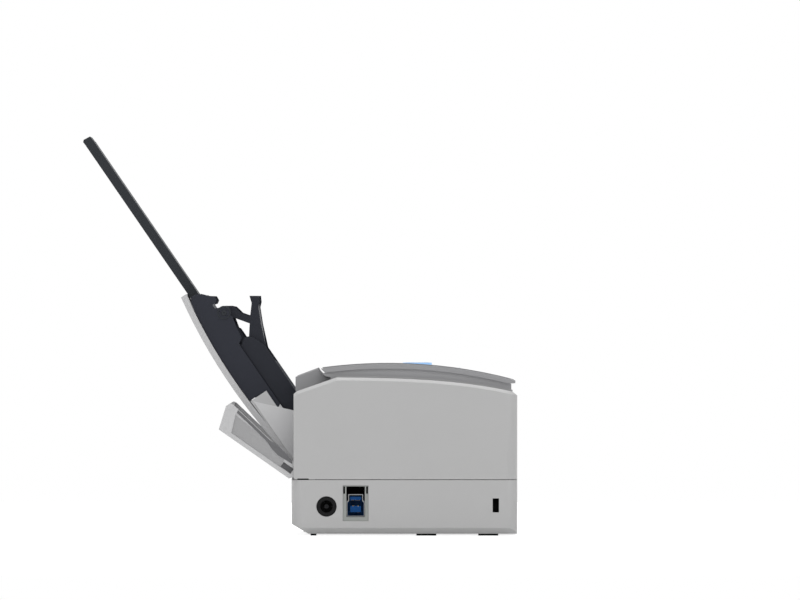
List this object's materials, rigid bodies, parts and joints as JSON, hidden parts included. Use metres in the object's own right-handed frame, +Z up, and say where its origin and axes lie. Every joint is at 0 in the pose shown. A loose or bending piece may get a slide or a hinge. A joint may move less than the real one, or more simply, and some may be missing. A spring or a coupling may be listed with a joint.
{
  "type": "document scanner",
  "caption": "Compact desktop sheet-fed document scanner with a hinged lid that opens into the paper chute, a pull-out sheet extension, an output guide and a rear flap.",
  "frame": {"origin": "on the table, in the middle of the open scanner's bounding box", "axes": "+X across the width to the right as seen from the front, +Y to the rear, +Z up; the front is at -Y"},
  "size_m": [0.296, 0.2181, 0.2002],
  "materials": {
    "white_plastic": "fine satin moulded plastic, light warm grey-white",
    "grey_plastic": "satin mid-grey moulded plastic",
    "light_grey_plastic": "matt light-grey moulded plastic",
    "dark_plastic": "fine matt charcoal plastic with a blue cast",
    "extension_plastic": "matt charcoal plastic",
    "inner_dark_plastic": "matt dark-grey plastic",
    "rubber": "matt black rubber",
    "roller_rubber": "ground grey rubber",
    "steel": "bright steel",
    "gear_plastic": "natural white acetal",
    "glass": "clear polished glass",
    "board_green": "solder-masked circuit board",
    "jack_black": "black moulded plastic",
    "usb_blue": "blue moulded plastic",
    "usb_frame_grey": "light-grey moulded plastic",
    "button_plastic": "pale satin plastic, lit from below",
    "light_ring": "clear ring lit blue"
  },
  "bodies": {
    "base": {"lower_housing": "white_plastic", "rubber_feet": "rubber", "housing_screws": "steel", "paper_deck": "inner_dark_plastic", "side_plates": "steel", "drive_motor": "steel", "lower_scan_head": "inner_dark_plastic", "lower_glass": "glass", "head_posts": "inner_dark_plastic", "main_board": "board_green", "io_board": "board_green", "board_standoffs": "steel", "dc_jack": "jack_black", "dc_jack_pin": "steel", "usb_bezel": "usb_frame_grey", "usb_socket": "steel", "usb_tongue": "usb_blue"},
    "feed_roller": {"feed_shaft": "steel", "feed_tyres": "roller_rubber", "feed_gear": "gear_plastic"},
    "transport_roller": {"transport_shaft": "steel", "transport_tyres": "roller_rubber", "transport_gear": "gear_plastic"},
    "pick_roller": {"pick_shaft": "steel", "pick_tyres": "roller_rubber", "pick_gear": "gear_plastic"},
    "idler_wheel": {"idler_gear": "gear_plastic"},
    "link_wheel": {"link_gear": "gear_plastic"},
    "pinion_wheel": {"motor_pinion": "gear_plastic"},
    "upper_unit": {"upper_housing": "white_plastic", "front_guide": "inner_dark_plastic", "upper_guide": "inner_dark_plastic", "upper_scan_head": "inner_dark_plastic", "upper_glass": "glass", "top_cover": "grey_plastic", "top_frame": "light_grey_plastic", "output_tray": "light_grey_plastic", "hinge_covers": "grey_plastic", "lid_pins": "steel", "scan_light": "light_ring", "button_board": "board_green", "unit_pins": "steel", "flap_pins": "steel"},
    "feed_idler_roller": {"feed_idlers": "roller_rubber"},
    "transport_idler_roller": {"transport_idlers": "roller_rubber"},
    "brake_roller": {"brake_rollers": "roller_rubber"},
    "scan_key": {"scan_button": "button_plastic"},
    "wifi_key": {"wifi_button": "button_plastic"},
    "release_latch": {"release_lever": "grey_plastic"},
    "lid": {"lid_shell": "white_plastic", "chute_tray": "dark_plastic", "stacker": "dark_plastic", "output_guide_pins": "steel"},
    "extension": {"paper_extension": "extension_plastic"},
    "left_guide": {"left_side_guide": "dark_plastic"},
    "right_guide": {"right_side_guide": "dark_plastic"},
    "guide_arm": {"output_guide": "dark_plastic"},
    "flap": {"rear_flap": "white_plastic"}
  },
  "joints": [
    {"name": "unit_open", "type": "hinge", "parent": "base", "child": "upper_unit", "pos_m": [0, 0.0019, 0.0281], "axis": [1, 0, 0], "range_deg": [-28, 0]},
    {"name": "lid_close", "type": "hinge", "parent": "upper_unit", "child": "lid", "pos_m": [0, -0.01455, 0.05715], "axis": [1, 0, 0], "range_deg": [0, 125]},
    {"name": "flap_close", "type": "hinge", "parent": "upper_unit", "child": "flap", "pos_m": [0, -0.001, 0.0306], "axis": [1, 0, 0], "range_deg": [0, 55]},
    {"name": "extension_retract", "type": "slide", "parent": "lid", "child": "extension", "axis": [0, -0.5664, -0.8241], "range_m": [0, 0.0924]},
    {"name": "left_guide_slide", "type": "slide", "parent": "lid", "child": "left_guide", "axis": [1, 0, 0], "range_m": [0, 0.08]},
    {"name": "right_guide_slide", "type": "slide", "parent": "lid", "child": "right_guide", "axis": [-1, 0, 0], "range_m": [0, 0.08]},
    {"name": "output_guide_lift", "type": "hinge", "parent": "lid", "child": "guide_arm", "pos_m": [0, 0.0379, 0.1115], "axis": [1, 0, 0], "range_deg": [-60, 0]},
    {"name": "scan_press", "type": "slide", "parent": "upper_unit", "child": "scan_key", "axis": [0, 0, -1], "range_m": [0, 0.0012], "stiffness_N_per_m": 800, "springref_m": -0.0003},
    {"name": "wifi_press", "type": "slide", "parent": "upper_unit", "child": "wifi_key", "axis": [0, 0, -1], "range_m": [0, 0.0012], "stiffness_N_per_m": 800, "springref_m": -0.0003},
    {"name": "release_pull", "type": "hinge", "parent": "upper_unit", "child": "release_latch", "pos_m": [0, -0.1063, 0.036], "axis": [1, 0, 0], "range_deg": [-12, 0], "stiffness_Nm_per_rad": 0.02, "springref_deg": 2.86},
    {"name": "feed_turn", "type": "hinge", "parent": "base", "child": "feed_roller", "pos_m": [0, -0.038, 0.0203], "axis": [1, 0, 0], "continuous": true},
    {"name": "transport_turn", "type": "hinge", "parent": "base", "child": "transport_roller", "pos_m": [0, -0.078, 0.0203], "axis": [1, 0, 0], "continuous": true},
    {"name": "pick_turn", "type": "hinge", "parent": "base", "child": "pick_roller", "pos_m": [0, -0.0135, 0.02205], "axis": [1, 0, 0], "continuous": true},
    {"name": "idler_gear_turn", "type": "hinge", "parent": "base", "child": "idler_wheel", "pos_m": [0, -0.058, 0.0203], "axis": [1, 0, 0], "continuous": true},
    {"name": "link_gear_turn", "type": "hinge", "parent": "base", "child": "link_wheel", "pos_m": [0, -0.02521, 0.01367], "axis": [1, 0, 0], "continuous": true},
    {"name": "pinion_turn", "type": "hinge", "parent": "base", "child": "pinion_wheel", "pos_m": [0, -0.04428, 0.0106], "axis": [1, 0, 0], "continuous": true},
    {"name": "feed_idler_turn", "type": "hinge", "parent": "upper_unit", "child": "feed_idler_roller", "pos_m": [0, -0.038, 0.03265], "axis": [1, 0, 0], "continuous": true},
    {"name": "transport_idler_turn", "type": "hinge", "parent": "upper_unit", "child": "transport_idler_roller", "pos_m": [0, -0.078, 0.03265], "axis": [1, 0, 0], "continuous": true},
    {"name": "brake_turn", "type": "hinge", "parent": "upper_unit", "child": "brake_roller", "pos_m": [0, -0.02101, 0.03533], "axis": [1, 0, 0], "continuous": true}
  ],
  "couplings": [
    {"joint": "transport_turn", "follows": "feed_turn", "ratio": 1},
    {"joint": "idler_gear_turn", "follows": "feed_turn", "ratio": -0.66667},
    {"joint": "pinion_turn", "follows": "feed_turn", "ratio": 1.6667},
    {"joint": "link_gear_turn", "follows": "feed_turn", "ratio": -1.25},
    {"joint": "pick_turn", "follows": "feed_turn", "ratio": 1},
    {"joint": "right_guide_slide", "follows": "left_guide_slide", "ratio": 1},
    {"joint": "flap_close", "follows": "lid_close", "ratio": 0.44}
  ]
}
